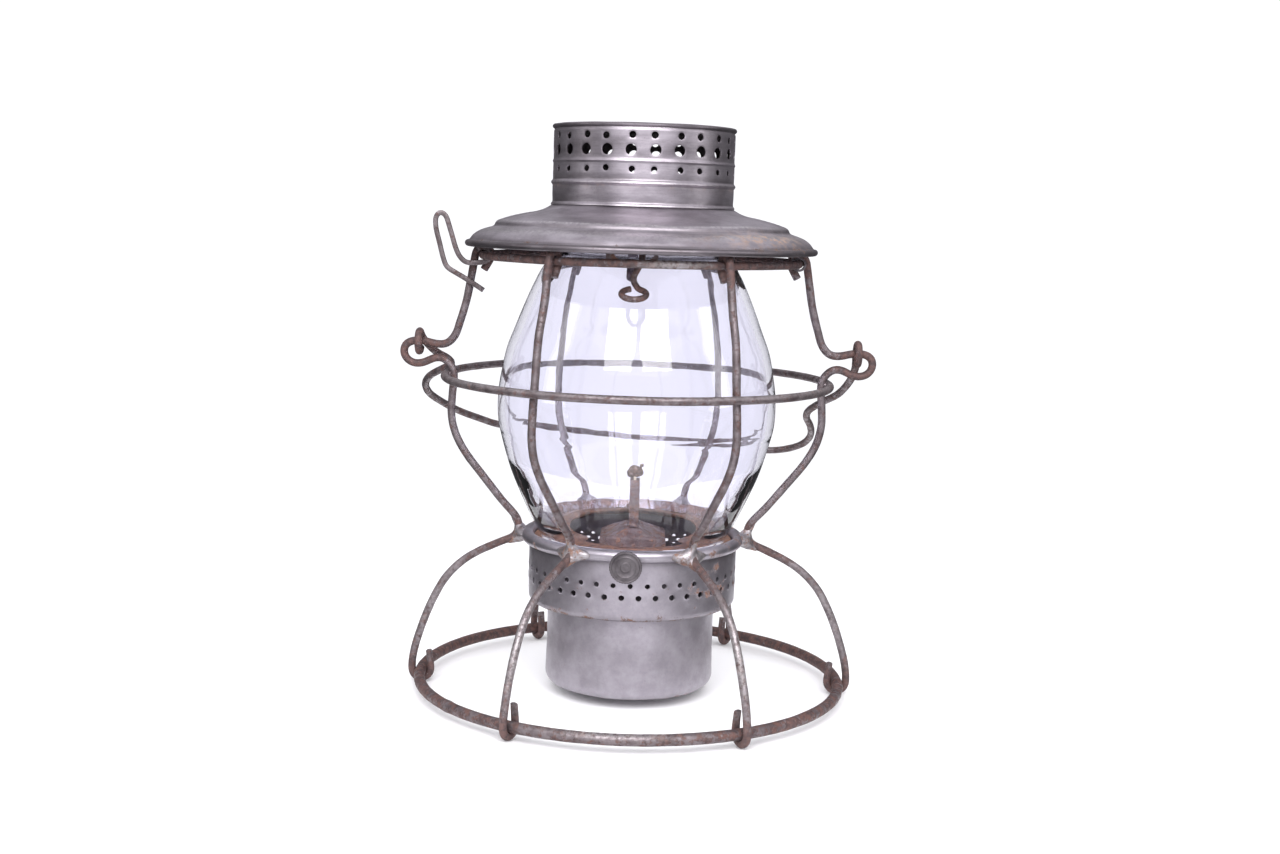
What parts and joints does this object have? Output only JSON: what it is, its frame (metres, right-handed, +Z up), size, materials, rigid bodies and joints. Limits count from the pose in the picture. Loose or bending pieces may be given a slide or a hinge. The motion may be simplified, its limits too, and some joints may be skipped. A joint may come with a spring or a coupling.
{
  "type": "wire-guard oil lantern",
  "caption": "Wire-guard oil lantern: glass globe in a wire cage, pierced air drum and tank below, hinged lid with pierced chimney, swinging bail, thumb catch and wick knob.",
  "frame": {"origin": "on the floor under the globe's axis, level with the worn flats of the six hooks that the lantern stands on", "axes": "+Z up along the globe's axis; the wick knob faces -Y; the lid hinge is at +X and the thumb catch at -X"},
  "size_m": [0.2062, 0.2279, 0.2454],
  "materials": {
    "rusty_wire": "worn steel wire with brown rust",
    "base_wire": "worn steel wire with brown rust and bare scuffs",
    "tinned_sheet": "dull aged tinplate",
    "drum_sheet": "mottled grey tinplate with rust specks",
    "solder": "old solder",
    "rusty_sheet": "rusted sheet",
    "dark_sheet": "dark oxidised sheet",
    "spring_steel": "worn spring steel",
    "old_brass": "tarnished",
    "clear_glass": "clear glass with a faint violet tint",
    "wick_cotton": "woven cotton",
    "char": "charred crust"
  },
  "bodies": {
    "frame": {"base_ring": "base_wire", "guard_ring": "rusty_wire", "top_ring": "rusty_wire", "guard_wire_right": "rusty_wire", "guard_wire_back_right": "rusty_wire", "guard_wire_back_left": "rusty_wire", "guard_wire_left": "rusty_wire", "guard_wire_front_left": "rusty_wire", "guard_wire_front_right": "rusty_wire", "ring_welds": "rusty_wire", "collar_solder": "solder", "air_drum": "drum_sheet", "tank_cup": "drum_sheet", "globe_seat": "rusty_sheet", "globe": "clear_glass", "oil_fount": "dark_sheet", "burner_cap": "old_brass", "wick_tube": "rusty_sheet", "burner_deflector": "rusty_sheet", "shaft_bush": "dark_sheet"},
    "lid": {"hood": "tinned_sheet", "chimney": "tinned_sheet", "chimney_cap": "tinned_sheet", "smoke_baffle": "dark_sheet", "globe_holder": "dark_sheet", "globe_springs": "spring_steel", "lid_hinge": "dark_sheet", "retainer_bracket": "rusty_sheet", "lid_rivets": "dark_sheet"},
    "retainer": {"retainer_loop": "rusty_wire"},
    "latch": {"latch_spring": "spring_steel"},
    "bail": {"bail": "rusty_wire"},
    "knob": {"wick_knob": "dark_sheet", "wick_shaft": "dark_sheet", "spur_wheels": "old_brass"},
    "wick": {"wick": "wick_cotton", "wick_char": "char"}
  },
  "joints": [
    {"name": "lid_hinge", "type": "hinge", "parent": "frame", "child": "lid", "pos_m": [0.067, 0, 0.1892], "axis": [0, 1, 0], "range_deg": [0, 95]},
    {"name": "retainer_swing", "type": "hinge", "parent": "lid", "child": "retainer", "pos_m": [0.001, -0.06, 0.191], "axis": [1, 0, 0], "range_deg": [-8, 16]},
    {"name": "latch_press", "type": "hinge", "parent": "frame", "child": "latch", "pos_m": [-0.0676, -0.0036, 0.1892], "axis": [0, -1, 0], "range_deg": [0, 30], "stiffness_Nm_per_rad": 0.02, "springref_deg": -8.59},
    {"name": "bail_swing", "type": "hinge", "parent": "frame", "child": "bail", "pos_m": [0, 0, 0.1511], "axis": [1, 0, 0], "range_deg": [0, 230]},
    {"name": "knob_turn", "type": "hinge", "parent": "frame", "child": "knob", "pos_m": [-0.00205, -0.0503, 0.0652], "axis": [0, -1, 0], "range_deg": [-30, 350]},
    {"name": "wick_lift", "type": "slide", "parent": "frame", "child": "wick", "axis": [0, 0, 1], "range_m": [-0.001, 0.0105]}
  ],
  "couplings": [
    {"joint": "wick_lift", "follows": "knob_turn", "m_per_rad": 0.0017}
  ]
}
